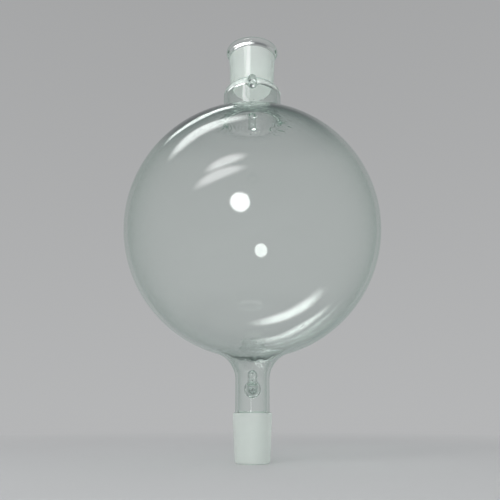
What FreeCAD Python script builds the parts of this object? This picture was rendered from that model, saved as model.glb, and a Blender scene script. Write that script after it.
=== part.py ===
"""Solvent reservoir bottle: one blown ball with a socket neck above and a cone below.

Everything is one piece of fused glass. The axis is Z, and Z = 0 is the wide end of the
ground cone. The glass between two turned profiles is the wall; four solid horns are
fused to it, two on each neck, each bent away from its joint.
"""
import FreeCAD, Part
import math
import os
import Sketcher

os.makedirs("parts", exist_ok=True)
doc = FreeCAD.newDocument("SolventReservoir")

SIZES = {
    # ball
    "ball_outer_radius": 84.0,
    "ball_wall": 2.5,
    # ground cone below, diameter falls by joint_taper for each millimetre of length
    "joint_taper": 0.1,
    "cone_wide_diameter": 24.0,
    "cone_length": 29.0,
    "cone_wall": 2.1,
    "cone_end_round": 1.4,
    "cone_shoulder_rise": 0.6,
    "cone_shoulder_round": 0.3,
    "cone_bore_ramp": 3.5,
    # straight stem, a step narrower than the cone, up to the flare that leads into the ball
    "stem_step": 1.4,
    "stem_wall": 1.7,
    "stem_length": 19.84,
    "stem_flare_radius": 17.0,
    # straight neck from the weld on the ball up to the shoulder that closes in to the socket
    "neck_radius": 20.2,
    "neck_wall": 2.5,
    "neck_length": 16.29,
    "neck_weld_radius": 2.4,
    "neck_shoulder_radius": 6.0,
    "neck_shoulder_slope": 39.5,
    # ground socket on top of the neck; its bore reaches a little below its foot outside
    "socket_wide_diameter": 29.2,
    "socket_length": 32.0,
    "socket_wall": 2.1,
    "socket_below_foot": 2.6,
    "socket_foot_round": 1.2,
    "rim_overhang": 1.8,
    "rim_bead_radius": 2.2,
    "rim_depth": 5.9,
    "rim_flare_round": 3.0,
    "mouth_depth": 1.6,
    "mouth_flare": 1.2,
    "mouth_round": 0.7,
    # horns
    "horn_radius": 2.9,
    "horn_tip_radius": 3.1,
    "horn_straight": 1.6,
    "horn_bend_radius": 7.4,
    "horn_bend_angle": 80.0,
    "horn_foot_round": 2.8,
    "lower_horn_height": 14.1,
    "upper_horn_rise": 0.3,
}

# Radii and heights that follow; heights count from the cone's wide end.
FOLLOWING = {
    "stem_radius": "=cone_wide_diameter / 2 - stem_step",
    "mouth_radius": "=socket_wide_diameter / 2 + mouth_flare",
    "rim_radius": "=socket_wide_diameter / 2 + socket_wall + rim_overhang",
    "ball_centre_height": (
        "=stem_length + sqrt((ball_outer_radius + stem_flare_radius)^2"
        " - (stem_radius + stem_flare_radius)^2)"
    ),
    "weld_height": (
        "=ball_centre_height + sqrt((ball_outer_radius + neck_weld_radius)^2"
        " - (neck_radius + neck_weld_radius)^2)"
    ),
    "shoulder_start_height": "=weld_height + neck_length",
    "socket_foot_radius": (
        "=socket_wide_diameter / 2 + socket_wall"
        " - joint_taper / 2 * (socket_length - socket_below_foot)"
    ),
    "socket_foot_height": (
        "=shoulder_start_height + neck_shoulder_radius * tan((90 - neck_shoulder_slope) / 2)"
        " + (neck_radius - socket_foot_radius) * tan(neck_shoulder_slope)"
    ),
    "rim_height": "=socket_foot_height - socket_below_foot + socket_length + mouth_depth",
    "upper_horn_height": "=shoulder_start_height + upper_horn_rise",
}

sheet = doc.addObject("Spreadsheet::Sheet", "Sizes")
for row, (word, entry) in enumerate({**SIZES, **FOLLOWING}.items(), start=1):
    sheet.set(f"A{row}", word)
    sheet.set(f"B{row}", str(entry))
    sheet.setAlias(f"B{row}", word)
doc.recompute()


def size(word):
    return float(sheet.get(word))


def origin_plane(body, role):
    for feature in body.Origin.OriginFeatures:
        if feature.Role == role:
            return feature
    raise RuntimeError("no origin plane " + role)


def flat_sketch(body, role, name):
    sketch = body.newObject("Sketcher::SketchObject", name)
    sketch.AttachmentSupport = [(origin_plane(body, role), "")]
    sketch.MapMode = "FlatFace"
    return sketch


class Profile:
    """A closed outline of lines and arcs in a sketch, each size bound to the sheet."""

    def __init__(self, sketch):
        self.sketch = sketch

    def line(self, start, end):
        geometry = Part.LineSegment(FreeCAD.Vector(*start, 0), FreeCAD.Vector(*end, 0))
        return self.sketch.addGeometry(geometry, False)

    def arc(self, centre, radius, first, last):
        """An arc from angle first to angle last, counter-clockwise, in degrees."""
        circle = Part.Circle(FreeCAD.Vector(*centre, 0), FreeCAD.Vector(0, 0, 1), radius)
        geometry = Part.ArcOfCircle(circle, math.radians(first), math.radians(last))
        return self.sketch.addGeometry(geometry, False)

    def rule(self, *words):
        return self.sketch.addConstraint(Sketcher.Constraint(*words))

    def join(self, first, first_end, second, second_end):
        self.rule("Coincident", first, first_end, second, second_end)

    def smooth(self, first, first_end, second, second_end):
        self.rule("Tangent", first, first_end, second, second_end)

    def bound(self, name, expression, *words):
        """A dimension with its own name, driven by an expression on the sheet."""
        index = self.rule(*words)
        self.sketch.renameConstraint(index, name)
        self.sketch.setExpression("Constraints." + name, expression)

    def height(self, name, expression, item, end, value):
        self.bound(name, expression, "DistanceY", -1, 1, item, end, value)

    def reach(self, name, expression, item, end, value):
        self.bound(name, expression, "DistanceX", -1, 1, item, end, value)


def blend_angle(first, centre):
    """Direction from first to centre in degrees, from 0 to 360."""
    return math.degrees(math.atan2(centre[1] - first[1], centre[0] - first[0])) % 360.0


def turned(body, name, sketch, cut=False):
    kind = "PartDesign::Groove" if cut else "PartDesign::Revolution"
    feature = body.newObject(kind, name)
    feature.Profile = sketch
    feature.ReferenceAxis = (sketch, ["V_Axis"])
    feature.Angle = 360.0
    sketch.Visibility = False
    return feature


def ball_side(profile, radius, low_radius, low_round, high_radius, high_round, names):
    """Stem line, flare, ball arc, weld and neck line: the run that both profiles share.

    The ball meets the stem and the neck in tangent arcs. Rounds are the radii of these
    arcs as seen from outside the ball. Returns the items from the stem line upwards.
    """
    middle = size("ball_centre_height")
    reach_low = low_radius + low_round
    reach_high = high_radius + high_round
    flare_centre = (reach_low, middle - math.sqrt((radius + low_round) ** 2 - reach_low**2))
    weld_centre = (reach_high, middle + math.sqrt((radius + high_round) ** 2 - reach_high**2))
    low_angle = blend_angle((0.0, middle), flare_centre)
    high_angle = blend_angle((0.0, middle), weld_centre)
    stem = profile.line((low_radius, names["stem_start"]), (low_radius, flare_centre[1]))
    flare = profile.arc(flare_centre, low_round, low_angle - 180.0, 180.0)
    ball = profile.arc((0.0, middle), radius, low_angle - 360.0, high_angle)
    weld = profile.arc(weld_centre, high_round, 180.0, high_angle + 180.0)
    neck = profile.line((high_radius, weld_centre[1]), (high_radius, names["neck_end"]))
    profile.rule("Vertical", stem)
    profile.smooth(stem, 2, flare, 2)
    profile.smooth(flare, 1, ball, 1)
    profile.smooth(ball, 2, weld, 2)
    profile.smooth(weld, 1, neck, 1)
    profile.rule("Vertical", neck)
    profile.rule("PointOnObject", ball, 3, -2)
    profile.height("ball_centre", "Sizes.ball_centre_height", ball, 3, middle)
    profile.bound("ball_radius", names["ball"], "Radius", ball, radius)
    profile.bound("flare_radius", names["flare"], "Radius", flare, low_round)
    profile.bound("weld_radius", names["weld"], "Radius", weld, high_round)
    profile.reach("stem_radius", names["stem"], stem, 1, low_radius)
    profile.reach("neck_radius", names["neck"], neck, 1, high_radius)
    return stem, flare, ball, weld, neck


def shoulder_start(neck_radius, round_radius, foot_radius, foot_height):
    """Height at which the neck ends and its shoulder starts to close in to the socket's foot."""
    slope = math.radians(size("neck_shoulder_slope"))
    corner = foot_height - (neck_radius - foot_radius) * math.tan(slope)
    return corner - round_radius * math.tan((math.pi / 2.0 - slope) / 2.0)


def shoulder(profile, neck, neck_radius, round_radius, foot_radius, foot_height, names):
    """Round and slope that close the neck in to the foot of the socket, from the neck up."""
    slope = math.radians(size("neck_shoulder_slope"))
    turn = math.pi / 2.0 - slope
    start = shoulder_start(neck_radius, round_radius, foot_radius, foot_height)
    centre = (neck_radius - round_radius, start)
    bend = profile.arc(centre, round_radius, 0.0, math.degrees(turn))
    leave = (
        centre[0] + round_radius * math.cos(turn),
        centre[1] + round_radius * math.sin(turn),
    )
    ramp = profile.line(leave, (foot_radius, foot_height))
    profile.smooth(neck, 2, bend, 1)
    profile.smooth(bend, 2, ramp, 1)
    profile.bound("shoulder_round", names["round"], "Radius", bend, round_radius)
    profile.bound(
        "shoulder_slope",
        "180 - Sizes.neck_shoulder_slope",
        "Angle",
        ramp,
        math.radians(180.0) - slope,
    )
    return ramp


def socket_radius_at(height):
    """Radius of the ground socket's bore at a height; it is widest at the foot of the mouth."""
    below_gauge = size("rim_height") - size("mouth_depth") - height
    return size("socket_wide_diameter") / 2.0 - size("joint_taper") / 2.0 * below_gauge


def outer_profile(body):
    """Everything inside the outer skin of the glass, as one turned solid."""
    sketch = flat_sketch(body, "XZ_Plane", "OuterProfile")
    profile = Profile(sketch)
    half_taper = size("joint_taper") / 2.0
    wide = size("cone_wide_diameter") / 2.0
    length = size("cone_length")
    narrow = wide - half_taper * length
    stem_radius = size("stem_radius")
    rise = size("cone_shoulder_rise")
    foot = size("socket_foot_height")
    rim = size("rim_height")
    foot_radius = size("socket_foot_radius")
    under_rim = rim - size("rim_depth")
    under_radius = socket_radius_at(under_rim) + size("socket_wall")

    floor = profile.line((0.0, -length), (narrow, -length))
    cone = profile.line((narrow, -length), (wide, 0.0))
    step = profile.line((wide, 0.0), (stem_radius, rise))
    names = {
        "stem_start": rise,
        "neck_end": size("shoulder_start_height"),
        "ball": "Sizes.ball_outer_radius",
        "flare": "Sizes.stem_flare_radius",
        "weld": "Sizes.neck_weld_radius",
        "stem": "Sizes.stem_radius",
        "neck": "Sizes.neck_radius",
    }
    stem, flare, ball, weld, neck = ball_side(
        profile,
        size("ball_outer_radius"),
        stem_radius,
        size("stem_flare_radius"),
        size("neck_radius"),
        size("neck_weld_radius"),
        names,
    )
    ramp = shoulder(
        profile,
        neck,
        size("neck_radius"),
        size("neck_shoulder_radius"),
        foot_radius,
        foot,
        {"round": "Sizes.neck_shoulder_radius"},
    )
    tube = profile.line((foot_radius, foot), (under_radius, under_rim))
    bead_radius = size("rim_bead_radius")
    bead_centre = (size("rim_radius") - bead_radius, rim - bead_radius)
    distance = math.hypot(bead_centre[0] - under_radius, bead_centre[1] - under_rim)
    heading = blend_angle((under_radius, under_rim), bead_centre)
    touch = heading - math.degrees(math.asin(bead_radius / distance)) - 90.0
    touch_point = (
        bead_centre[0] + bead_radius * math.cos(math.radians(touch)),
        bead_centre[1] + bead_radius * math.sin(math.radians(touch)),
    )
    swell = profile.line((under_radius, under_rim), touch_point)
    bead = profile.arc(bead_centre, bead_radius, touch, 90.0)
    top = profile.line((bead_centre[0], rim), (0.0, rim))
    axis = profile.line((0.0, rim), (0.0, -length))

    profile.join(floor, 2, cone, 1)
    profile.join(cone, 2, step, 1)
    profile.join(step, 2, stem, 1)
    profile.join(ramp, 2, tube, 1)
    profile.join(tube, 2, swell, 1)
    profile.smooth(swell, 2, bead, 1)
    profile.smooth(bead, 2, top, 1)
    profile.join(top, 2, axis, 1)
    profile.join(axis, 2, floor, 1)
    profile.rule("Horizontal", floor)
    profile.rule("Horizontal", top)
    profile.rule("PointOnObject", axis, 1, -2)
    profile.rule("PointOnObject", axis, 2, -2)

    narrow_rule = "Sizes.cone_wide_diameter / 2 - Sizes.joint_taper / 2 * Sizes.cone_length"
    wall_rule = "Sizes.socket_wide_diameter / 2 + Sizes.socket_wall - Sizes.joint_taper / 2 * "
    profile.height("cone_end", "-Sizes.cone_length", floor, 2, -length)
    profile.reach("cone_narrow", narrow_rule, floor, 2, narrow)
    profile.reach("cone_wide", "Sizes.cone_wide_diameter / 2", cone, 2, wide)
    profile.rule("PointOnObject", cone, 2, -1)
    profile.height("step_rise", "Sizes.cone_shoulder_rise", step, 2, rise)
    profile.height("socket_foot", "Sizes.socket_foot_height", tube, 1, foot)
    profile.reach("socket_foot_radius", "Sizes.socket_foot_radius", tube, 1, foot_radius)
    profile.height("bead_foot", "Sizes.rim_height - Sizes.rim_depth", tube, 2, under_rim)
    profile.reach(
        "bead_foot_radius",
        wall_rule + "(Sizes.rim_depth - Sizes.mouth_depth)",
        tube,
        2,
        under_radius,
    )
    profile.bound("bead_radius", "Sizes.rim_bead_radius", "Radius", bead, bead_radius)
    profile.reach("bead_centre", "Sizes.rim_radius - Sizes.rim_bead_radius", bead, 3, bead_centre[0])
    profile.height("rim_height", "Sizes.rim_height", top, 1, rim)
    return sketch


def inner_profile(body):
    """The hollow from mouth to outlet, as one turned cut."""
    sketch = flat_sketch(body, "XZ_Plane", "InnerProfile")
    profile = Profile(sketch)
    rim = size("rim_height")
    gauge = rim - size("mouth_depth")
    ground_end = gauge - size("socket_length")
    length = size("cone_length")
    half_taper = size("joint_taper") / 2.0
    ramp_foot = -size("cone_bore_ramp")
    wide_bore = size("cone_wide_diameter") / 2.0 - size("cone_wall")
    ramp_radius = wide_bore + half_taper * ramp_foot
    outlet_radius = wide_bore - half_taper * length
    stem_bore = size("stem_radius") - size("stem_wall")
    neck_bore = size("neck_radius") - size("neck_wall")
    ground_radius = socket_radius_at(ground_end)
    wide = size("socket_wide_diameter") / 2.0
    mouth = size("mouth_radius")
    shoulder_round = size("neck_shoulder_radius") - size("neck_wall")

    bottom = profile.line((0.0, -length), (outlet_radius, -length))
    cone_bore = profile.line((outlet_radius, -length), (ramp_radius, ramp_foot))
    bore_ramp = profile.line((ramp_radius, ramp_foot), (stem_bore, 0.0))
    names = {
        "stem_start": 0.0,
        "neck_end": shoulder_start(neck_bore, shoulder_round, ground_radius, ground_end),
        "ball": "Sizes.ball_outer_radius - Sizes.ball_wall",
        "flare": "Sizes.stem_flare_radius + Sizes.stem_wall",
        "weld": "Sizes.neck_weld_radius",
        "stem": "Sizes.stem_radius - Sizes.stem_wall",
        "neck": "Sizes.neck_radius - Sizes.neck_wall",
    }
    stem, flare, ball, weld, neck = ball_side(
        profile,
        size("ball_outer_radius") - size("ball_wall"),
        stem_bore,
        size("stem_flare_radius") + size("stem_wall"),
        neck_bore,
        size("neck_weld_radius"),
        names,
    )
    ramp = shoulder(
        profile,
        neck,
        neck_bore,
        shoulder_round,
        ground_radius,
        ground_end,
        {"round": "Sizes.neck_shoulder_radius - Sizes.neck_wall"},
    )
    ground = profile.line((ground_radius, ground_end), (wide, gauge))
    flare_out = profile.line((wide, gauge), (mouth, rim))
    top = profile.line((mouth, rim), (0.0, rim))
    axis = profile.line((0.0, rim), (0.0, -length))

    profile.join(bottom, 2, cone_bore, 1)
    profile.join(cone_bore, 2, bore_ramp, 1)
    profile.join(bore_ramp, 2, stem, 1)
    profile.join(ramp, 2, ground, 1)
    profile.join(ground, 2, flare_out, 1)
    profile.join(flare_out, 2, top, 1)
    profile.join(top, 2, axis, 1)
    profile.join(axis, 2, bottom, 1)
    profile.rule("Horizontal", bottom)
    profile.rule("Horizontal", top)
    profile.rule("PointOnObject", axis, 1, -2)
    profile.rule("PointOnObject", axis, 2, -2)

    end_rule = "Sizes.socket_wide_diameter / 2 - Sizes.joint_taper / 2 * Sizes.socket_length"
    bore_rule = "Sizes.cone_wide_diameter / 2 - Sizes.cone_wall - Sizes.joint_taper / 2 * "
    profile.height("outlet", "-Sizes.cone_length", bottom, 2, -length)
    profile.reach("outlet_radius", bore_rule + "Sizes.cone_length", bottom, 2, outlet_radius)
    profile.height("ramp_foot", "-Sizes.cone_bore_ramp", cone_bore, 2, ramp_foot)
    profile.reach("ramp_radius", bore_rule + "Sizes.cone_bore_ramp", cone_bore, 2, ramp_radius)
    profile.rule("PointOnObject", bore_ramp, 2, -1)
    profile.height(
        "ground_end",
        "Sizes.rim_height - Sizes.mouth_depth - Sizes.socket_length",
        ground,
        1,
        ground_end,
    )
    profile.reach("ground_end_radius", end_rule, ground, 1, ground_radius)
    profile.height("gauge_height", "Sizes.rim_height - Sizes.mouth_depth", ground, 2, gauge)
    profile.reach("gauge_radius", "Sizes.socket_wide_diameter / 2", ground, 2, wide)
    profile.reach("mouth_radius", "Sizes.mouth_radius", flare_out, 2, mouth)
    profile.height("mouth_height", "Sizes.rim_height", flare_out, 2, rim)
    return sketch


def horn(body, name, neck, height, side, turn):
    """One horn: a rod that leaves the neck level and bends away from the joint, with a round tip.

    neck is the word of the radius it stands on and height the word of its height. side is 1
    for the back and -1 for the front, and turn is 1 for a bend up and -1 for a bend down.
    The rod starts in the middle of the wall, so nothing shows in the bore.
    """
    wall = neck.replace("radius", "wall")
    bend = size("horn_bend_radius")
    angle = size("horn_bend_angle")
    level = size(height)
    start = side * (size(neck) - size(wall) / 2.0)
    bend_start = side * (size(neck) + size("horn_straight"))
    start_rule = f"{side} * (Sizes.{neck} - Sizes.{wall} / 2)"
    bend_rule = f"{side} * (Sizes.{neck} + Sizes.horn_straight)"
    tip_rule = f"{bend_rule} + {side} * Sizes.horn_bend_radius * sin(Sizes.horn_bend_angle)"
    tip_rise = "Sizes.horn_bend_radius * (1 - cos(Sizes.horn_bend_angle))"
    tip_height_rule = f"Sizes.{height} + {turn} * {tip_rise}"

    path_sketch = flat_sketch(body, "YZ_Plane", name + "Path")
    path = Profile(path_sketch)
    run = path.line((start, level), (bend_start, level))
    straight_down = 180.0 + 90.0 * turn
    centre = (bend_start, level + turn * bend)
    forward = side * turn > 0
    first = straight_down if forward else straight_down - angle
    curve = path.arc(centre, bend, first, first + angle)
    path.smooth(run, 2, curve, 1 if forward else 2)
    path.rule("Horizontal", run)
    path.reach("start", start_rule, run, 1, start)
    path.height("height", f"Sizes.{height}", run, 1, level)
    path.reach("bend_start", bend_rule, run, 2, bend_start)
    path.bound("bend", "Sizes.horn_bend_radius", "Radius", curve, bend)
    tip = bend_start + side * bend * math.sin(math.radians(angle))
    path.reach("tip", tip_rule, curve, 2 if forward else 1, tip)
    path_sketch.Visibility = False

    section = flat_sketch(body, "XZ_Plane", name + "Section")
    section.AttachmentOffset = FreeCAD.Placement(FreeCAD.Vector(0, 0, -start), FreeCAD.Rotation())
    section.setExpression(".AttachmentOffset.Base.z", f"-1 * ({start_rule})")
    ring = Profile(section)
    circle = Part.Circle(FreeCAD.Vector(0, level, 0), FreeCAD.Vector(0, 0, 1), size("horn_radius"))
    rod_ring = section.addGeometry(circle, False)
    ring.rule("PointOnObject", rod_ring, 3, -2)
    ring.height("height", f"Sizes.{height}", rod_ring, 3, level)
    ring.bound("rod", "Sizes.horn_radius", "Radius", rod_ring, size("horn_radius"))
    section.Visibility = False

    rod = body.newObject("PartDesign::AdditivePipe", name + "Rod")
    rod.Profile = section
    rod.Spine = (path_sketch, ["Edge1", "Edge2"])

    ball = body.newObject("PartDesign::AdditiveSphere", name + "Tip")
    ball.AttachmentSupport = [(origin_plane(body, "XY_Plane"), "")]
    ball.MapMode = "FlatFace"
    ball.setExpression("Radius", "Sizes.horn_tip_radius")
    ball.setExpression(".AttachmentOffset.Base.y", tip_rule)
    ball.setExpression(".AttachmentOffset.Base.z", tip_height_rule)
    return ball


def ring_edges(shape, radius, height):
    """Names of the full circles about the axis with this radius at this height."""
    names = []
    for number, edge in enumerate(shape.Edges, start=1):
        if not isinstance(edge.Curve, Part.Circle):
            continue
        centre = edge.Curve.Center
        same_radius = abs(edge.Curve.Radius - radius) < 0.01
        if same_radius and abs(centre.z - height) < 0.01 and math.hypot(centre.x, centre.y) < 0.01:
            names.append(f"Edge{number}")
    return names


def foot_edges(shape, neck, height):
    """Names of the edges where the horns of one pair meet the outside of their neck."""
    reach = size("horn_radius") + 0.05
    bore = size(neck) - size(neck.replace("radius", "wall")) / 2.0
    names = []
    for number, edge in enumerate(shape.Edges, start=1):
        if edge.Degenerated:
            continue
        points = edge.discretize(9)
        beside = all(abs(p.x) < reach and abs(p.z - size(height)) < reach for p in points)
        on_neck = all(bore < math.hypot(p.x, p.y) < size(neck) + 0.02 for p in points)
        if beside and on_neck:
            names.append(f"Edge{number}")
    return names


def fillet(body, name, base, edges, word):
    if not edges:
        raise RuntimeError("no edge found for " + name)
    feature = body.newObject("PartDesign::Fillet", name)
    feature.Base = (base, edges)
    feature.Radius = size(word)
    feature.setExpression("Radius", "Sizes." + word)
    body.Tip = feature
    doc.recompute()
    return feature


def build_reservoir():
    body = doc.addObject("PartDesign::Body", "Reservoir")
    body.Label = "reservoir"
    body.Placement = FreeCAD.Placement()
    turned(body, "OuterForm", outer_profile(body))
    last = turned(body, "Hollow", inner_profile(body), cut=True)
    body.Tip = last
    doc.recompute()

    wide = size("cone_wide_diameter") / 2.0
    half_taper = size("joint_taper") / 2.0
    length = size("cone_length")
    foot = size("socket_foot_height")
    under_rim = size("rim_height") - size("rim_depth")
    wall = size("socket_wall")
    rings = [
        ("ConeEndRound", wide - half_taper * length, -length, "cone_end_round"),
        ("ConeShoulderRound", wide, 0.0, "cone_shoulder_round"),
        ("SocketFootRound", size("socket_foot_radius"), foot, "socket_foot_round"),
        ("RimFlareRound", socket_radius_at(under_rim) + wall, under_rim, "rim_flare_round"),
        ("MouthRound", size("mouth_radius"), size("rim_height"), "mouth_round"),
    ]
    for name, radius, height, word in rings:
        last = fillet(body, name, last, ring_edges(last.Shape, radius, height), word)

    for side, word in ((-1, "Front"), (1, "Back")):
        horn(body, word + "LowerHorn", "stem_radius", "lower_horn_height", side, 1)
        last = horn(body, word + "UpperHorn", "neck_radius", "upper_horn_height", side, -1)
    body.Tip = last
    doc.recompute()

    lower = foot_edges(last.Shape, "stem_radius", "lower_horn_height")
    last = fillet(body, "LowerHornFeet", last, lower, "horn_foot_round")
    upper = foot_edges(last.Shape, "neck_radius", "upper_horn_height")
    fillet(body, "UpperHornFeet", last, upper, "horn_foot_round")
    return body


def check_document():
    for item in doc.Objects:
        if "Invalid" in item.State or "Error" in item.State:
            raise RuntimeError(f"{item.Name} is {item.State}")
        if item.isDerivedFrom("Sketcher::SketchObject") and not item.FullyConstrained:
            raise RuntimeError(item.Name + " is not fully constrained")


reservoir = build_reservoir()
doc.recompute()
check_document()
shape = reservoir.Shape
if shape.isNull() or not shape.isValid() or len(shape.Solids) != 1:
    raise RuntimeError("the reservoir is not one valid solid")
shape.exportStep("parts/reservoir.step")
print("reservoir volume mm3", round(shape.Volume, 1), "box", shape.BoundBox)
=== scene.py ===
"""Looks of the blown glass solvent reservoir: the fused bottle with its ground joints, and the studio."""
import math

import bmesh
import bpy
from mathutils import Matrix, Vector, noise


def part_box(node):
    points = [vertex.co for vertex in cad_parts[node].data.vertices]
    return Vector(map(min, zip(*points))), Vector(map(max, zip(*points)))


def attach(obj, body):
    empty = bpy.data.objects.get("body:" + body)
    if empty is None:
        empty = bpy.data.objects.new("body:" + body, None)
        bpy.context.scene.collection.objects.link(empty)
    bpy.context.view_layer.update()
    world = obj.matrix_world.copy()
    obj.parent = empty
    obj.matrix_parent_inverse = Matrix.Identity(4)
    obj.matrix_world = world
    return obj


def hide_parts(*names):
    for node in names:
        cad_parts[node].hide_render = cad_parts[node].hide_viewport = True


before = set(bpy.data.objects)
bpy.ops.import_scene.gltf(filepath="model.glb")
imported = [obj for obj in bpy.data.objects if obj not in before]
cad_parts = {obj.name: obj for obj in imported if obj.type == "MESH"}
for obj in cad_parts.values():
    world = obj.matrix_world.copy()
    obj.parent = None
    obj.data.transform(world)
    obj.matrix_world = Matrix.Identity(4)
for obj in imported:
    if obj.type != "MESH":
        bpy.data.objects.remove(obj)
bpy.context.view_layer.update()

bl_info = {
    "name": "Glass Reservoir Bottle",
    "version": (1, 0, 0),
    "blender": (4, 5, 0),
    "location": "View3D > Sidebar > Reservoir",
    "description": "Turns a blown glass reservoir with ground joints and fused horns, in a studio",
    "category": "Add Mesh",
}

MM = 0.001
NODE_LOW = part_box("reservoir")[0]

# A ground joint narrows by a tenth of its length, so its radius leans by half of that.
JOINT_LEAN = 0.05
# The socket is measured this far below the rim's top.
GAUGE_DEPTH = 1.6 * MM
SHOULDER_SLOPE = math.radians(39.5)

# Roundings and small steps of the turned outline, outside and then inside.
CONE_END_ROUND = 1.4 * MM
CONE_TOP_ROUND = 0.3 * MM
STEM_FOOT = 0.6 * MM
STEM_FOOT_ROUND = 0.4 * MM
SOCKET_FOOT_ROUND = 1.2 * MM
UNDER_RIM_ROUND = 3.0 * MM
MOUTH_FLARE = 1.2 * MM
MOUTH_ROUND = 0.7 * MM
NECK_INSIDE_ROUND = 3.5 * MM
OUTLET_RAMP = -3.5 * MM
OUTLET_ROUND = 0.4 * MM
OUTLET_START = 0.42 * MM

# Steps of the turned wall, of a horn's rod and of its rounded end, and the distance that merges points.
WALL_STEPS = 192
ROD_STEPS = 40
BEND_STEPS = 18
TIP_RINGS = 12
MERGE = 0.002 * MM

# A horn's foot ends this deep in the wall, reaches this far past its edge, and touches just under the skin.
FOOT_DEPTH = 0.9 * MM
FOOT_REACH = 0.3 * MM
FOOT_TOUCH = 0.03 * MM
FOOT_RINGS = 7

# How strongly clear glass bends light, and how often light may be mirrored inside it before it goes on.
GLASS_IOR = 1.473
MIRRORED_ROUND = 2.5

# The lamps hang this far from the ball's centre; the camera is where the outline of the bottle fits.
LAMP_DISTANCE = 1.1
FOCAL_SHARE = 580.0 / 500.0
SENSOR_WIDTH = 36.0
CAMERA_PLACE = (-0.0015, -0.36882, 0.0001)
CAMERA_TILT = math.radians(90.0 + 15.69)


def length(name, description, default):
    """A size that a user may change, kept in metres and written here in millimetres."""
    return bpy.props.FloatProperty(
        name=name,
        description=description,
        default=default * MM,
        min=0.0,
        subtype="DISTANCE",
        unit="LENGTH",
    )


def tint(name, description, default):
    """A colour that a user may change."""
    return bpy.props.FloatVectorProperty(
        name=name, description=description, default=default, min=0.0, max=1.0, size=3, subtype="COLOR"
    )


def share(name, description, default):
    """A number from 0 to 1 that a user may change."""
    return bpy.props.FloatProperty(
        name=name, description=description, default=default, min=0.0, max=1.0, subtype="FACTOR"
    )


class BottleSizes(bpy.types.PropertyGroup):
    """Sizes of the turned glass and the horns."""

    # The ball is 84 mm in the part. It is drawn a little smaller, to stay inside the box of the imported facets.
    ball_radius: length("Ball radius", "Outside radius of the blown ball", 83.94)
    ball_wall: length("Ball wall", "Thickness of the ball's wall", 2.5)
    ball_height: length("Ball height", "Height of the ball's centre above the cone's wide end", 116.996)
    cone_radius: length("Cone radius", "Radius of the ground cone at its wide end", 12.0)
    cone_length: length("Cone length", "Length of the ground cone", 29.0)
    cone_wall: length("Cone wall", "Thickness of the cone's wall", 2.1)
    stem_radius: length("Stem radius", "Outside radius of the stem under the ball", 10.6)
    stem_wall: length("Stem wall", "Thickness of the stem's wall", 1.7)
    flare_round: length("Flare", "Radius of the sweep from stem to ball", 17.0)
    neck_radius: length("Neck radius", "Outside radius of the neck above the ball", 20.2)
    neck_wall: length("Neck wall", "Thickness of the neck's wall", 2.5)
    weld_round: length("Weld", "Radius of the fused corner between ball and neck", 2.4)
    shoulder_round: length("Shoulder", "Radius of the rounded shoulder between neck and socket", 6.0)
    socket_radius: length("Socket radius", "Bore radius of the ground socket at its wide end", 14.6)
    socket_wall: length("Socket wall", "Thickness of the socket's wall", 2.1)
    socket_foot: length("Socket foot", "Height at which the socket stands on the shoulder", 223.605)
    ground_end: length("Ground end", "Height at which the ground bore ends below", 221.0)
    frost_top: length("Frost top", "Height at which the grinding of the bore ends above", 248.7)
    rim_height: length("Rim height", "Height of the rim's top", 254.6)
    rim_radius: length("Rim radius", "Radius of the rim at the bead's widest", 18.5)
    rim_depth: length("Rim depth", "Height of the whole rim, down to the plain socket", 5.9)
    bead_radius: length("Bead radius", "Radius of the rounded bead of the rim", 2.2)
    horn_radius: length("Horn radius", "Radius of the rod that a horn is bent from", 2.9)
    tip_radius: length("Tip radius", "Radius of a horn's rounded tip", 3.1)
    horn_straight: length("Horn straight", "Straight stretch of a horn before its bend", 1.6)
    horn_bend: length("Horn bend", "Radius of a horn's bend", 7.4)
    horn_turn: bpy.props.FloatProperty(
        name="Horn turn",
        description="How far a horn is bent round",
        default=math.radians(80.0),
        min=0.5,
        max=1.6,
        subtype="ANGLE",
        unit="ROTATION",
    )
    foot_round: length("Horn foot", "Radius of the soft foot that fuses a horn to the glass", 2.8)
    lower_horn: length("Lower horns", "Height of the pair of horns on the stem", 14.1)
    upper_horn: length("Upper horns", "Height of the pair of horns on the neck's shoulder", 216.978)
    weld_wander: length("Weld wander", "How far the skin wanders where glass was run together", 0.6)


class GlassLook(bpy.types.PropertyGroup):
    """Colours and finishes of the glass."""

    clear_tint: tint("Clear glass", "Colour of clear glass seen straight on", (0.955, 0.985, 0.97))
    edge_tint: tint("Thick glass", "Colour of the same glass seen along its wall", (0.17, 0.35, 0.27))
    ground_tint: tint("Ground glass", "Colour of the ground and matt joints", (0.80, 0.84, 0.81))
    ground_rough: share("Grinding", "Roughness of the ground joints", 0.8)


class StudioLook(bpy.types.PropertyGroup):
    """Colours and lamps of the studio."""

    floor_tint: tint("Floor", "Colour of the paper floor", (0.555, 0.56, 0.565))
    backdrop_tint: tint("Backdrop", "Colour of the backdrop behind the floor", (0.46, 0.465, 0.47))
    zenith_tint: tint("Above", "Colour of the backdrop high above the bottle", (0.085, 0.09, 0.1))
    key_glow: share("Key lamp", "Brightness of the round lamp's face, in twentieths", 0.47)
    strip_glow: share("Strip lamps", "Brightness of the long lamps' faces, in twentieths", 0.36)
    room_light: bpy.props.FloatProperty(
        name="Room light", description="Strength of the soft light all round", default=0.68, min=0.0
    )


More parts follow.
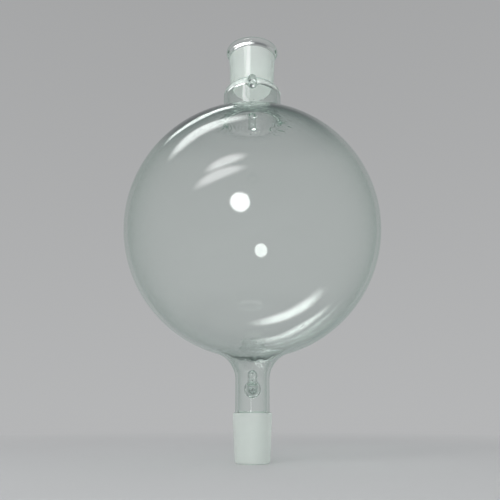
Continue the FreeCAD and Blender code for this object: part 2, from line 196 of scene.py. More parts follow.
class Flow:
    """A shader value on its way through the nodes; sums and products of flows add Math nodes."""

    def __init__(self, tree, socket):
        self.tree = tree
        self.socket = socket

    def node(self, kind, settings=None, inputs=None, output=0):
        """Adds a node of this kind with its settings and inputs, and returns one output as a flow."""
        made = self.tree.nodes.new(kind)
        for name, value in (settings or {}).items():
            setattr(made, name, value)
        for name, value in (inputs or {}).items():
            if isinstance(value, Flow):
                self.tree.links.new(value.socket, made.inputs[name])
            else:
                made.inputs[name].default_value = value
        return Flow(self.tree, made.outputs[output])

    def maths(self, operation, other):
        """A Math node on this flow and another flow or a number."""
        return self.node("ShaderNodeMath", {"operation": operation}, {0: self, 1: other})

    def __add__(self, other):
        return self.maths("ADD", other)

    __radd__ = __add__

    def __sub__(self, other):
        return self.maths("SUBTRACT", other)

    def __rsub__(self, other):
        return self.node("ShaderNodeMath", {"operation": "SUBTRACT"}, {0: other, 1: self})

    def __mul__(self, other):
        return self.maths("MULTIPLY", other)

    __rmul__ = __mul__


def fresh_material(name):
    """An empty node material, with a flow to start from and its output node."""
    material = bpy.data.materials.new(name)
    material.use_nodes = True
    tree = material.node_tree
    tree.nodes.clear()
    output = tree.nodes.new("ShaderNodeOutputMaterial")
    start = Flow(tree, None)
    return material, start, output


def swells(start, place, scale, detail, roughness=0.5, distortion=0.0):
    """Soft random swells, smaller with a larger scale."""
    return start.node(
        "ShaderNodeTexNoise",
        {"noise_dimensions": "3D"},
        {"Vector": place, "Scale": scale, "Detail": detail, "Roughness": roughness, "Distortion": distortion},
    )


def drawn_out(start, place, scale):
    """The place with each axis scaled, so that swells on it are drawn out into lines or rings."""
    return start.node("ShaderNodeMapping", None, {"Vector": place, "Scale": scale})


def fading(start, value, low, high, first, last):
    """Goes softly from the first number, where the value is low, to the last, where it is high."""
    return start.node(
        "ShaderNodeMapRange",
        {"interpolation_type": "SMOOTHSTEP"},
        {"Value": value, "From Min": low, "From Max": high, "To Min": first, "To Max": last},
    )


def from_axis(start, place):
    """Distance from the bottle's upright axis."""
    level = start.node("ShaderNodeVectorMath", {"operation": "MULTIPLY"}, {0: place, 1: (1.0, 1.0, 0.0)})
    return start.node("ShaderNodeVectorMath", {"operation": "LENGTH"}, {0: level}, output="Value")


def two_tints(start, factor, first, second):
    """Mixes two colours, each a flow or three numbers: the first at 0, the second at 1."""
    ends = [end if isinstance(end, Flow) else (*end, 1.0) for end in (first, second)]
    return start.node("ShaderNodeMix", {"data_type": "RGBA"}, {0: factor, 6: ends[0], 7: ends[1]}, output=2)


def two_skins(start, factor, first, second):
    """Mixes two shaders: the first at 0, the second at 1."""
    return start.node("ShaderNodeMixShader", None, {0: factor, 1: first, 2: second})


def see_through(start, colour):
    """A clear shader that lets light straight on and tints it."""
    return start.node("ShaderNodeBsdfTransparent", None, {"Color": (*colour, 1.0)})


def ray(start, fact):
    """A fact about the ray that meets the surface, such as its kind or how often it was mirrored."""
    return start.node("ShaderNodeLightPath", output=fact)


def plain_ways(start):
    """1 on the rays that only carry light to other things: shadow rays and those off matt floors."""
    return ray(start, "Is Shadow Ray").maths("MAXIMUM", ray(start, "Is Diffuse Ray"))


def seen_ways(start):
    """1 on the rays by which a thing is seen: straight, mirrored or through glass."""
    mirrored = ray(start, "Is Camera Ray").maths("MAXIMUM", ray(start, "Is Glossy Ray"))
    return mirrored.maths("MAXIMUM", ray(start, "Is Transmission Ray"))


def long_way(start):
    """1 on rays that have been mirrored round inside the glass a few times."""
    return ray(start, "Glossy Depth").maths("GREATER_THAN", MIRRORED_ROUND)


def glancing(start, power):
    """0 where the skin is seen straight on, up to 1 along its edge."""
    return start.node("ShaderNodeLayerWeight", None, {"Blend": 0.5}, output="Facing").maths("POWER", power)


def clear_glass(look):
    """Fire-polished glass: slow waves of blown glass in its skin, green where the edge is thick."""
    material, start, output = fresh_material("clear_glass")
    place = start.node("ShaderNodeTexCoord", output="Object")
    waves = swells(start, place, 13.0, 0.0, distortion=0.4)
    cords = swells(start, drawn_out(start, place, (16.0, 16.0, 100.0)), 1.0, 1.0, 0.4)
    draw_lines = swells(start, drawn_out(start, place, (260.0, 260.0, 8.0)), 1.0, 1.0, 0.4)
    on_tubes = fading(start, from_axis(start, place), 0.021, 0.03, 0.03, 0.0)
    relief = start.node(
        "ShaderNodeBump",
        None,
        {"Height": waves + cords * 0.02 + draw_lines * on_tubes, "Strength": 0.6, "Distance": 0.003},
    )
    solid = start.node("ShaderNodeAttribute", {"attribute_name": "solid"}, output="Fac")
    thin_edge = glancing(start, 3.2)
    thick_edge = glancing(start, 1.3)
    edge = thin_edge + (thick_edge - thin_edge) * solid
    skin = start.node(
        "ShaderNodeBsdfPrincipled",
        None,
        {
            "Base Color": two_tints(start, edge, look.clear_tint, look.edge_tint),
            "Roughness": 0.0,
            "IOR": GLASS_IOR,
            "Transmission Weight": 1.0,
            "Normal": relief,
        },
    )
    depths = see_through(start, (0.72, 0.84, 0.78))
    kept = two_skins(start, long_way(start), skin, depths)
    gap = see_through(start, (0.955, 0.975, 0.965))
    through = plain_ways(start) * (0.985 - glancing(start, 3.0) * 0.75)
    mixed = two_skins(start, through, kept, gap)
    start.tree.links.new(mixed.socket, output.inputs["Surface"])
    return material


def ground_glass(look):
    """Glass ground matt with fine grit: milky, with a soft grain and faint turning marks."""
    material, start, output = fresh_material("ground_glass")
    place = start.node("ShaderNodeTexCoord", output="Object")
    grit = swells(start, place, 2600.0, 3.0, 0.6)
    marks = swells(start, drawn_out(start, place, (60.0, 60.0, 1800.0)), 1.0, 2.0)
    cloud = swells(start, place, 140.0, 2.0)
    relief = start.node(
        "ShaderNodeBump", None, {"Height": grit + marks * 0.6, "Strength": 0.5, "Distance": 0.00008}
    )
    pale = [min(1.0, value * 1.07) for value in look.ground_tint]
    skin = start.node(
        "ShaderNodeBsdfPrincipled",
        None,
        {
            "Base Color": two_tints(start, cloud * 0.6 + marks * 0.3, look.ground_tint, pale),
            "Roughness": grit * 0.12 + (look.ground_rough - 0.06),
            "IOR": GLASS_IOR,
            "Transmission Weight": 0.55,
            "Normal": relief,
        },
    )
    mixed = two_skins(start, plain_ways(start) * 0.7, skin, see_through(start, (0.80, 0.83, 0.81)))
    start.tree.links.new(mixed.socket, output.inputs["Surface"])
    return material


class Outline:
    """A line drawn in the plane of the axis, by extruding and spinning its last vertex."""

    def __init__(self, mesh, radius, height):
        self.mesh = mesh
        self.first = mesh.verts.new((radius, 0.0, height))
        self.last = self.first

    def point(self):
        """Radius and height of the last point."""
        return self.last.co.x, self.last.co.z

    def line(self, radius, height, steps=1):
        """Straight on to a point, in equal steps."""
        start = self.last.co.copy()
        for step in range(1, steps + 1):
            made = bmesh.ops.extrude_vert_indiv(self.mesh, verts=[self.last])
            self.last = made["verts"][0]
            self.last.co = start.lerp(Vector((radius, 0.0, height)), step / steps)

    def arc(self, centre, degrees, steps):
        """Round a centre, turning from the axis side upwards when degrees are positive."""
        made = bmesh.ops.spin(
            self.mesh,
            geom=[self.last],
            cent=(centre[0], 0.0, centre[1]),
            axis=(0.0, -1.0, 0.0),
            angle=math.radians(degrees),
            steps=steps,
            use_merge=False,
            use_duplicate=False,
        )
        self.last = next(item for item in made["geom_last"] if isinstance(item, bmesh.types.BMVert))

    def corner(self, corner, beyond, radius, steps):
        """Up to a corner and round it with this radius, heading for the point beyond."""
        here = Vector(self.point())
        corner = Vector(corner)
        arriving = (corner - here).normalized()
        leaving = (Vector(beyond) - corner).normalized()
        turn = -math.degrees(arriving.angle_signed(leaving))
        back = radius * math.tan(math.radians(abs(turn)) / 2.0)
        start = corner - arriving * back
        side = 1.0 if turn > 0.0 else -1.0
        centre = start + Vector((-arriving.y, arriving.x)) * radius * side
        self.line(start.x, start.y)
        self.arc(centre, turn, steps)

    def close(self):
        """Joins the last point to the first."""
        self.mesh.edges.new((self.last, self.first))


def direction(first, second):
    """Angle in degrees of the way from one point to another in the plane of the axis."""
    return math.degrees(math.atan2(second[1] - first[1], second[0] - first[0]))


def bore_radius(sizes, height):
    """Radius of the ground socket's bore at a height."""
    gauge = sizes.rim_height - GAUGE_DEPTH
    return sizes.socket_radius - JOINT_LEAN * (gauge - height)


def shoulder_corner(wide, narrow, top):
    """Height of the corner between a neck and the cone of its shoulder, before it is rounded."""
    return top - (wide - narrow) * math.tan(SHOULDER_SLOPE)


def blend_centres(sizes, radius, stem, flare, neck):
    """Centres of the arcs that lead from the stem into the ball and from the ball into the neck."""
    middle = sizes.ball_height
    low = stem + flare
    high = neck + sizes.weld_round
    flare_centre = (low, middle - math.sqrt((radius + flare) ** 2 - low**2))
    weld_centre = (high, middle + math.sqrt((radius + sizes.weld_round) ** 2 - high**2))
    return flare_centre, weld_centre


def round_ball(outline, centre, degrees):
    """Round the ball's wall, in finer steps over the 10 degrees near each of its two welds."""
    end = math.copysign(10.0, degrees)
    for sweep, steps in ((end, 12), (degrees - 2.0 * end, 60), (end, 12)):
        outline.arc(centre, sweep, steps)


def draw_outside(outline, sizes):
    """From the outlet's face up the outside to the top of the rim."""
    cone = sizes.cone_radius
    stem = sizes.stem_radius
    neck = sizes.neck_radius
    narrow = cone - JOINT_LEAN * sizes.cone_length
    flare_centre, weld_centre = blend_centres(sizes, sizes.ball_radius, stem, sizes.flare_round, neck)
    ball_centre = (0.0, sizes.ball_height)
    low = direction(ball_centre, flare_centre)
    high = direction(ball_centre, weld_centre)
    outline.corner((narrow, -sizes.cone_length), (cone, 0.0), CONE_END_ROUND, 6)
    outline.line(cone - 0.02 * MM, -0.35 * MM, 12)
    outline.corner((cone, 0.0), (stem, STEM_FOOT), CONE_TOP_ROUND, 3)
    outline.corner((stem, STEM_FOOT), (stem, flare_centre[1]), STEM_FOOT_ROUND, 3)
    outline.line(stem, flare_centre[1], 24)
    outline.arc(flare_centre, low, 18)
    round_ball(outline, ball_centre, high - low)
    outline.arc(weld_centre, -high, 8)

    foot = bore_radius(sizes, sizes.socket_foot) + sizes.socket_wall
    corner = shoulder_corner(neck, foot, sizes.socket_foot)
    under_rim = sizes.rim_height - sizes.rim_depth
    under_radius = bore_radius(sizes, under_rim) + sizes.socket_wall
    outline.line(neck, corner - 4.0 * MM, 16)
    outline.corner((neck, corner), (foot, sizes.socket_foot), sizes.shoulder_round, 10)
    outline.corner((foot, sizes.socket_foot), (under_radius, under_rim), SOCKET_FOOT_ROUND, 5)
    draw_bead(outline, sizes, under_radius, under_rim)


def draw_bead(outline, sizes, under_radius, under_rim):
    """Out from the socket's wall and round the fire-polished bead to the rim's top."""
    bead = sizes.bead_radius
    centre = (sizes.rim_radius - bead, sizes.rim_height - bead)
    reach = math.hypot(centre[0] - under_radius, centre[1] - under_rim)
    touch = direction((under_radius, under_rim), centre) - math.degrees(math.asin(bead / reach)) - 90.0
    touch_point = (
        centre[0] + bead * math.cos(math.radians(touch)),
        centre[1] + bead * math.sin(math.radians(touch)),
    )
    outline.line(under_radius - 0.1 * MM, under_rim - 2.0 * MM, 10)
    outline.corner((under_radius, under_rim), touch_point, UNDER_RIM_ROUND, 6)
    outline.line(*touch_point)
    outline.arc(centre, 90.0 - touch, 16)


def draw_inside(outline, sizes):
    """From the top of the rim down the bore, round the hollow ball and out of the outlet."""
    gauge = sizes.rim_height - GAUGE_DEPTH
    mouth = sizes.socket_radius + MOUTH_FLARE
    ground_radius = bore_radius(sizes, sizes.ground_end)
    neck = sizes.neck_radius - sizes.neck_wall
    stem = sizes.stem_radius - sizes.stem_wall
    ball = sizes.ball_radius - sizes.ball_wall
    flare_centre, weld_centre = blend_centres(sizes, ball, stem, sizes.flare_round + sizes.stem_wall, neck)
    ball_centre = (0.0, sizes.ball_height)
    low = direction(ball_centre, flare_centre)
    high = direction(ball_centre, weld_centre)
    outline.corner((mouth, sizes.rim_height), (sizes.socket_radius, gauge), MOUTH_ROUND, 6)
    outline.line(sizes.socket_radius, gauge)
    outline.line(bore_radius(sizes, sizes.frost_top), sizes.frost_top, 3)
    outline.line(ground_radius, sizes.ground_end, 14)
    corner = shoulder_corner(neck, ground_radius, sizes.ground_end)
    outline.corner((neck, corner), (neck, weld_centre[1]), NECK_INSIDE_ROUND, 8)
    outline.line(neck, weld_centre[1], 12)
    outline.arc(weld_centre, high, 8)
    round_ball(outline, ball_centre, low - high)
    outline.arc(flare_centre, -low, 18)

    bore = sizes.cone_radius - sizes.cone_wall
    outlet = bore - JOINT_LEAN * sizes.cone_length
    outline.line(stem, 0.0, 16)
    outline.line(bore + JOINT_LEAN * OUTLET_RAMP, OUTLET_RAMP, 3)
    outline.corner((outlet, -sizes.cone_length), (outlet + 2.0 * MM, -sizes.cone_length), OUTLET_ROUND, 3)


def turned_glass(sizes):
    """The wall of the whole bottle, as one outline turned about the axis."""
    mesh = bmesh.new()
    outlet = sizes.cone_radius - sizes.cone_wall - JOINT_LEAN * sizes.cone_length
    outline = Outline(mesh, outlet + OUTLET_START, -sizes.cone_length)
    draw_outside(outline, sizes)
    draw_inside(outline, sizes)
    outline.close()
    full_turn(mesh, (0.0, 0.0, 1.0), WALL_STEPS)
    bmesh.ops.recalc_face_normals(mesh, faces=mesh.faces[:])
    return mesh


def full_turn(mesh, axis, steps):
    """Turns the drawn outline once round an axis through the origin."""
    bmesh.ops.spin(
        mesh,
        geom=mesh.verts[:] + mesh.edges[:],
        cent=(0.0, 0.0, 0.0),
        axis=axis,
        angle=math.tau,
        steps=steps,
        use_merge=True,
        use_duplicate=False,
    )
    bmesh.ops.remove_doubles(mesh, verts=mesh.verts[:], dist=MERGE)


def wander(mesh, sizes):
    """Lets the skin wander at the two welds of the ball, as glass does that was run together in the flame."""
    flare_centre, weld_centre = blend_centres(
        sizes, sizes.ball_radius, sizes.stem_radius, sizes.flare_round, sizes.neck_radius
    )
    band = 6.0 * MM
    widest = 30.0 * MM
    mesh.normal_update()
    # Height of each weld, how fine its ripples are, and their share of the whole wander.
    welds = ((weld_centre[1] - 1.0 * MM, 400.0, 1.0), (flare_centre[1] + 9.0 * MM, 200.0, 0.4))
    for height, fineness, much in welds:
        for vertex in mesh.verts:
            away = abs(vertex.co.z - height) / band
            if away < 1.0 and math.hypot(vertex.co.x, vertex.co.y) < widest:
                fade = (1.0 - away**2) ** 2
                swell = noise.noise(vertex.co * fineness) + 0.5 * noise.noise(vertex.co * fineness * 2.1)
                vertex.co += vertex.normal * swell * fade * much * sizes.weld_wander


def outer_radius(sizes, tube, height):
    """Radius of the glass that a horn stands on, at a height: the stem, or the neck and its shoulder."""
    if tube == "stem":
        return sizes.stem_radius
    rounding = sizes.shoulder_round
    foot = bore_radius(sizes, sizes.socket_foot) + sizes.socket_wall
    turn = math.pi / 2.0 - SHOULDER_SLOPE
    start = shoulder_corner(sizes.neck_radius, foot, sizes.socket_foot) - rounding * math.tan(turn / 2.0)
    rise = height - start
    if rise <= 0.0:
        return sizes.neck_radius
    if rise < rounding * math.sin(turn):
        return sizes.neck_radius - rounding + math.sqrt(rounding**2 - rise**2)
    return foot + (sizes.socket_foot - height) / math.tan(SHOULDER_SLOPE)


def horn_foot(sizes, tube, height, turn):
    """The soft foot of a horn: it spreads from the rod onto the glass, and ends inside the glass's wall.

    It is turned about +Y, and its points then follow the glass under them.
    """
    rod = sizes.horn_radius
    foot = sizes.foot_round
    surface = outer_radius(sizes, tube, height)
    buried = surface - FOOT_DEPTH
    touch = surface - FOOT_TOUCH
    part = bmesh.new()
    last = part.verts.new((0.0, buried, 0.0))
    reach = rod + foot + FOOT_REACH
    places = [(reach * step / FOOT_RINGS, buried) for step in range(1, FOOT_RINGS + 1)]
    for out, along in (*places, (rod + foot, touch)):
        last = bmesh.ops.extrude_vert_indiv(part, verts=[last])["verts"][0]
        last.co = Vector((out, along, 0.0))
    bmesh.ops.spin(
        part,
        geom=[last],
        cent=(rod + foot, touch + foot, 0.0),
        axis=(0.0, 0.0, 1.0),
        angle=-math.pi / 2.0,
        steps=12,
        use_merge=False,
        use_duplicate=False,
    )
    full_turn(part, (0.0, 1.0, 0.0), ROD_STEPS)
    for vertex in part.verts:
        out = math.hypot(vertex.co.x, vertex.co.z)
        local = outer_radius(sizes, tube, height + turn * vertex.co.z)
        local = math.sqrt(max(local**2 - vertex.co.x**2, 0.0))
        inside = vertex.co.y < surface - 0.5 * MM
        grip = 1.0 if inside else min(1.0, max(0.0, (out - rod) / (0.5 * foot)))
        vertex.co.y += (local - surface) * grip
    return part, surface


def items_of(made, kind, key="geom"):
    """The vertices or the edges that a bmesh operator has made."""
    return [item for item in made[key] if isinstance(item, kind)]


def horn(mesh, sizes, tube, height, side, turn):
    """Adds one horn to the mesh: a soft foot on the glass, a bent rod and a round tip.

    It is made leaving along +Y and bending up, then flipped to its side and turn.
    """
    part, surface = horn_foot(sizes, tube, height, turn)
    ring = [edge for edge in part.edges if edge.is_boundary]
    verts = [vertex for vertex in part.verts if vertex.is_boundary]

    bend_start = surface + sizes.horn_straight
    bend_centre = Vector((0.0, bend_start, sizes.horn_bend))
    lean = math.asin((sizes.foot_round - sizes.horn_straight) / sizes.horn_bend)
    for vertex in verts:
        vertex.co.y = bend_start
    bmesh.ops.rotate(part, verts=verts, cent=bend_centre, matrix=Matrix.Rotation(lean, 3, "X"))
    bend = bmesh.ops.spin(
        part,
        geom=verts + ring,
        cent=bend_centre,
        axis=(1.0, 0.0, 0.0),
        angle=sizes.horn_turn - lean,
        steps=BEND_STEPS,
        use_merge=False,
        use_duplicate=False,
    )
    verts = items_of(bend, bmesh.types.BMVert, "geom_last")
    ring = items_of(bend, bmesh.types.BMEdge, "geom_last")
    round_tip(part, sizes, verts, ring)
    flip = Matrix.Diagonal((1.0, side, turn, 1.0))
    bmesh.ops.transform(part, matrix=Matrix.Translation((0.0, 0.0, height)) @ flip, verts=part.verts[:])
    bmesh.ops.recalc_face_normals(part, faces=part.faces[:])
    loose = bpy.data.meshes.new("horn")
    part.to_mesh(loose)
    part.free()
    mesh.from_mesh(loose)
    bpy.data.meshes.remove(loose)


def round_tip(part, sizes, verts, ring):
    """Closes the rod's end with a ball that is a little thicker than the rod."""
    rod = sizes.horn_radius
    tip = sizes.tip_radius
    end = sum((vertex.co for vertex in verts), Vector()) / len(verts)
    onward = Vector((0.0, math.cos(sizes.horn_turn), math.sin(sizes.horn_turn)))
    start = math.asin(rod / tip)
    here = end.copy()
    radius = rod
    for step in range(1, TIP_RINGS + 1):
        angle = (math.pi - start) * (1.0 - step / (TIP_RINGS + 1.0))
        made = bmesh.ops.extrude_edge_only(part, edges=ring)
        verts = items_of(made, bmesh.types.BMVert)
        ring = items_of(made, bmesh.types.BMEdge)
        there = end + onward * tip * (math.cos(start) + math.cos(angle))
        wide = tip * math.sin(angle)
        for vertex in verts:
            vertex.co = there + (vertex.co - here) * (wide / radius)
        here = there
        radius = wide
    bmesh.ops.edgeloop_fill(part, edges=ring)
    bmesh.ops.remove_doubles(part, verts=part.verts[:], dist=MERGE)


def shown(name, mesh):
    """A new object in the scene, made from a bmesh."""
    data = bpy.data.meshes.new(name)
    mesh.to_mesh(data)
    mesh.free()
    piece = bpy.data.objects.new(name, data)
    bpy.context.scene.collection.objects.link(piece)
    return piece


def fuse(piece, added):
    """Joins another closed mesh to the piece, as glass that has run together."""
    union = piece.modifiers.new("fuse", "BOOLEAN")
    union.operation = "UNION"
    union.solver = "EXACT"
    union.object = added
    graph = bpy.context.evaluated_depsgraph_get()
    fused = bpy.data.meshes.new_from_object(piece.evaluated_get(graph))
    piece.modifiers.clear()
    piece.data = fused
    bpy.data.objects.remove(added)


def ground_zones(piece, sizes):
    """Gives the ground skin to the cone's outside and the socket's bore."""
    cone_low = -sizes.cone_length + 0.25 * MM
    for face in piece.data.polygons:
        radius = math.hypot(face.center.x, face.center.y)
        height = face.center.z
        cone_radius = sizes.cone_radius + JOINT_LEAN * height
        cone = cone_low < height < 0.0 and abs(radius - cone_radius) < 0.9 * MM
        in_bore = sizes.ground_end < height < sizes.frost_top
        bore = in_bore and abs(radius - bore_radius(sizes, height)) < 0.1 * MM
        face.material_index = 1 if cone or bore else 0
        face.use_smooth = True
    piece.data.set_sharp_from_angle(angle=math.radians(38.0))


def solid_marks(piece, sizes):
    """Marks how solid the glass is: the tubes in part, the rim's bead and the horns most."""
    marks = piece.data.attributes.new("solid", "FLOAT", "POINT")
    rim_foot = sizes.rim_height - sizes.rim_depth
    # Radius of the tube that each pair of horns stands on, and the heights between which they are.
    places = (
        (sizes.stem_radius, sizes.lower_horn - 7.0 * MM, sizes.lower_horn + 12.3 * MM),
        (sizes.neck_radius, sizes.upper_horn - 12.0 * MM, sizes.upper_horn + 5.0 * MM),
    )
    for vertex, mark in zip(piece.data.vertices, marks.data):
        across, out, height = abs(vertex.co.x), abs(vertex.co.y), vertex.co.z
        mark.value = 0.5 * min(1.0, max(0.0, (26.0 * MM - math.hypot(across, out)) / (5.0 * MM)))
        for radius, low, high in places:
            if low < height < high and across < sizes.tip_radius * 1.3:
                mark.value = min(1.0, max(mark.value, (out - radius - 0.5 * MM) / MM))
        if height > rim_foot:
            mark.value = 0.5 + 0.4 * min(1.0, (height - rim_foot) / MM)


class RESERVOIR_OT_glass(bpy.types.Operator):
    """Turn the bottle, fuse its horns to it and give it its clear and ground skins"""

    bl_idname = "reservoir.glass"
    bl_label = "Turn and fuse the glass"

    def execute(self, context):
        sizes = context.scene.reservoir_sizes
        look = context.scene.reservoir_glass
        wall = turned_glass(sizes)
        wander(wall, sizes)
        piece = shown("reservoir_glass", wall)
        horns = bmesh.new()
        for side in (-1.0, 1.0):
            horn(horns, sizes, "stem", sizes.lower_horn, side, 1.0)
            horn(horns, sizes, "neck", sizes.upper_horn, side, -1.0)
        fuse(piece, shown("horns", horns))
        piece.data.materials.clear()
        piece.data.materials.append(clear_glass(look))
        piece.data.materials.append(ground_glass(look))
        ground_zones(piece, sizes)
        solid_marks(piece, sizes)
        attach(piece, "root")
        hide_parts("reservoir")
        return {"FINISHED"}


def paper_floor(look):
    """Matt pale paper that runs out into the even tone of the backdrop."""
    material, start, output = fresh_material("paper_floor")
    place = start.node("ShaderNodeTexCoord", output="Object")
    darker = [value * 0.96 for value in look.floor_tint]
    shade = two_tints(start, swells(start, place, 4.0, 2.0), look.floor_tint, darker)
    skin = start.node(
        "ShaderNodeBsdfPrincipled", None, {"Base Color": shade, "Roughness": 0.9, "Specular IOR Level": 0.1}
    )
    tone = start.node("ShaderNodeEmission", None, {"Color": (*look.backdrop_tint, 1.0), "Strength": 1.0})
    far = fading(start, from_axis(start, place), 0.15, 0.65, 0.0, 1.0)
    mixed = two_skins(start, far * seen_ways(start), skin, tone)
    start.tree.links.new(mixed.socket, output.inputs["Surface"])
    return material


def aim(item, spot):
    """Turns a lamp or the camera at a spot."""
    item.rotation_euler = (Vector(spot) - item.location).to_track_quat("-Z", "Y").to_euler()


def soften(data, core):
    """Lets a lamp's face fade out towards its edge, and hides it from rays straight through the ball.

    Those have passed two walls, four skins in all, and were mirrored nowhere.
    """
    data.use_nodes = True
    tree = data.node_tree
    tree.nodes.clear()
    output = tree.nodes.new("ShaderNodeOutputLight")
    start = Flow(tree, None)
    place = start.node("ShaderNodeNewGeometry", output="Parametric")
    middle = start.node("ShaderNodeVectorMath", {"operation": "SUBTRACT"}, {0: place, 1: (0.5, 0.5, 0.0)})
    away = start.node("ShaderNodeVectorMath", {"operation": "LENGTH"}, {0: middle}, output="Value")
    lit = fading(start, away, 0.5 * core, 0.5, 1.0, 0.0)
    skins = ray(start, "Transmission Depth")
    two_walls = skins.maths("GREATER_THAN", 3.5) * skins.maths("LESS_THAN", 4.5)
    straight = two_walls * ray(start, "Glossy Depth").maths("LESS_THAN", 0.5)
    dark = start.node("ShaderNodeEmission", None, {"Strength": 0.0})
    bright = start.node("ShaderNodeEmission", None, {"Strength": 1.0})
    face = two_skins(start, lit * (1.0 - straight), dark, bright)
    tree.links.new(face.socket, output.inputs["Surface"])


def lamp(name, shape, place, size, glow, core):
    """A lamp with a soft-edged face: glow is its brightness in twentieths, core its evenly bright share."""
    data = bpy.data.lights.new(name, "AREA")
    data.shape = shape
    data.size = size[0]
    area = math.pi * size[0] ** 2 / 4.0
    if shape == "ELLIPSE":
        data.size_y = size[1]
        area = math.pi * size[0] * size[1] / 4.0
    data.energy = 20.0 * glow * math.pi * area
    soften(data, core)
    item = bpy.data.objects.new(name, data)
    item.location = place
    item.visible_camera = False
    bpy.context.scene.collection.objects.link(item)
    return item


def hung(sizes, azimuth, elevation):
    """A lamp's place round the ball: azimuth 0 is in front, and towards the right when positive."""
    side = math.radians(azimuth)
    up = math.radians(elevation)
    return Vector(
        (
            LAMP_DISTANCE * math.cos(up) * math.sin(side),
            -LAMP_DISTANCE * math.cos(up) * math.cos(side),
            sizes.ball_height + LAMP_DISTANCE * math.sin(up),
        )
    )


def strip(name, sizes, first, last, width, glow):
    """A long lamp that runs from one direction to another, seen from the ball, and faces the ball.

    Its face reaches a little past both ends, because it fades out there.
    """
    start = hung(sizes, *first)
    end = hung(sizes, *last)
    item = lamp(name, "ELLIPSE", (start + end) / 2.0, ((end - start).length * 1.3, width * 1.3), glow, 0.4)
    along = (end - start).normalized()
    back = (item.location - Vector((0.0, 0.0, sizes.ball_height))).normalized()
    across = back.cross(along)
    item.rotation_euler = Matrix((along, across, back)).transposed().to_euler()
    return item


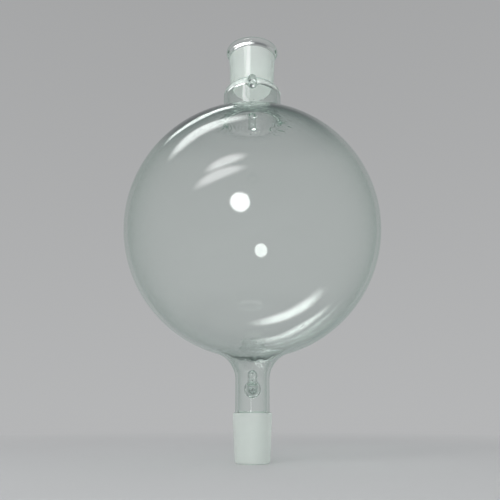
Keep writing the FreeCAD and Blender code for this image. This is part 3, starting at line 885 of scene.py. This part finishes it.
class RESERVOIR_OT_stage(bpy.types.Operator):
    """Lay the floor and its sweep, hang the lamps and place the camera"""

    bl_idname = "reservoir.stage"
    bl_label = "Set the studio"

    def execute(self, context):
        scene = context.scene
        sizes = scene.reservoir_sizes
        look = scene.reservoir_studio
        self.floor(look)
        self.lamps(sizes, look)
        self.room(scene, look)
        self.camera(scene)
        scene.view_settings.view_transform = "Standard"
        return {"FINISHED"}

    def floor(self, look):
        """A round paper floor that reaches to the horizon in every view."""
        mesh = bmesh.new()
        bmesh.ops.create_circle(mesh, cap_ends=True, radius=12.0, segments=96)
        bmesh.ops.translate(mesh, vec=(0.0, 0.0, NODE_LOW[2]), verts=mesh.verts[:])
        floor = shown("floor", mesh)
        floor.data.materials.append(paper_floor(look))

    def lamps(self, sizes, look):
        """A round key near the camera and long strips at the upper left, as soft studio lamps.

        Two strips show on the outside of the glass, and two only through it, where they light nothing matt.
        """
        key = lamp("key", "DISK", hung(sizes, -10.2, 4.8), (0.34,), look.key_glow, 0.78)
        aim(key, (0.0, 0.0, sizes.ball_height))
        glow = look.strip_glow
        high = strip("strip_high", sizes, (-39.9, 31.4), (-6.2, 46.3), 0.16, glow)
        low = strip("strip_low", sizes, (-46.7, 18.7), (-6.4, 34.2), 0.16, glow)
        left = strip("strip_left", sizes, (-92.0, 44.0), (-150.0, 86.0), 0.25, glow * 0.95)
        back = strip("strip_back", sizes, (-135.5, 45.5), (-178.7, 56.4), 0.2, glow * 0.6)
        for item in (high, low):
            item.visible_transmission = False
        for item in (left, back):
            item.visible_glossy = False
            item.visible_diffuse = False

    def room(self, scene, look):
        """Soft light all round, and a backdrop tone that is seen but gives no light."""
        world = bpy.data.worlds.new("room")
        scene.world = world
        world.use_nodes = True
        tree = world.node_tree
        tree.nodes.clear()
        output = tree.nodes.new("ShaderNodeOutputWorld")
        start = Flow(tree, None)
        way = start.node("ShaderNodeTexCoord", output="Generated")
        up = start.node("ShaderNodeSeparateXYZ", None, {"Vector": way}, output="Z")
        rising = start.node("ShaderNodeMapRange", None, {"Value": up, "From Min": 0.0, "From Max": 0.62})
        darker = [value * 0.82 for value in look.backdrop_tint]
        sweep = two_tints(start, rising, look.backdrop_tint, darker)
        tone = two_tints(start, fading(start, up, 0.62, 0.88, 0.0, 1.0), sweep, look.zenith_tint)
        seen = start.node("ShaderNodeBackground", None, {"Color": tone, "Strength": 1.0})
        light = start.node(
            "ShaderNodeBackground", None, {"Color": (0.98, 0.99, 1.0, 1.0), "Strength": look.room_light}
        )
        mixed = two_skins(start, seen_ways(start), light, seen)
        tree.links.new(mixed.socket, output.inputs["Surface"])

    def camera(self, scene):
        """The camera low in front, looking up at the bottle as the photograph does."""
        data = bpy.data.cameras.new("camera")
        data.sensor_width = SENSOR_WIDTH
        data.lens = FOCAL_SHARE * SENSOR_WIDTH
        data.clip_start = 0.01
        item = bpy.data.objects.new("camera", data)
        item.location = CAMERA_PLACE
        item.rotation_euler = (CAMERA_TILT, 0.0, 0.0)
        scene.collection.objects.link(item)
        scene.camera = item


class RESERVOIR_PT_panel(bpy.types.Panel):
    """Sizes and looks of the reservoir, in the 3D view's sidebar"""

    bl_label = "Reservoir bottle"
    bl_idname = "RESERVOIR_PT_panel"
    bl_space_type = "VIEW_3D"
    bl_region_type = "UI"
    bl_category = "Reservoir"

    def draw(self, context):
        layout = self.layout
        scene = context.scene
        for group in (scene.reservoir_sizes, scene.reservoir_glass, scene.reservoir_studio):
            box = layout.box()
            for name in group.__annotations__:
                box.prop(group, name)
        for piece in OPERATORS:
            layout.operator(piece.bl_idname)


OPERATORS = (RESERVOIR_OT_glass, RESERVOIR_OT_stage)
CLASSES = (BottleSizes, GlassLook, StudioLook, *OPERATORS, RESERVOIR_PT_panel)


def register():
    """Adds the bottle's settings, operators and panel to Blender."""
    for item in CLASSES:
        bpy.utils.register_class(item)
    bpy.types.Scene.reservoir_sizes = bpy.props.PointerProperty(type=BottleSizes)
    bpy.types.Scene.reservoir_glass = bpy.props.PointerProperty(type=GlassLook)
    bpy.types.Scene.reservoir_studio = bpy.props.PointerProperty(type=StudioLook)


def unregister():
    """Takes them out again."""
    del bpy.types.Scene.reservoir_studio
    del bpy.types.Scene.reservoir_glass
    del bpy.types.Scene.reservoir_sizes
    for item in reversed(CLASSES):
        bpy.utils.unregister_class(item)


def main():
    """Makes the bottle and its studio."""
    register()
    bpy.ops.reservoir.glass()
    bpy.ops.reservoir.stage()


if __name__ == "__main__":
    main()
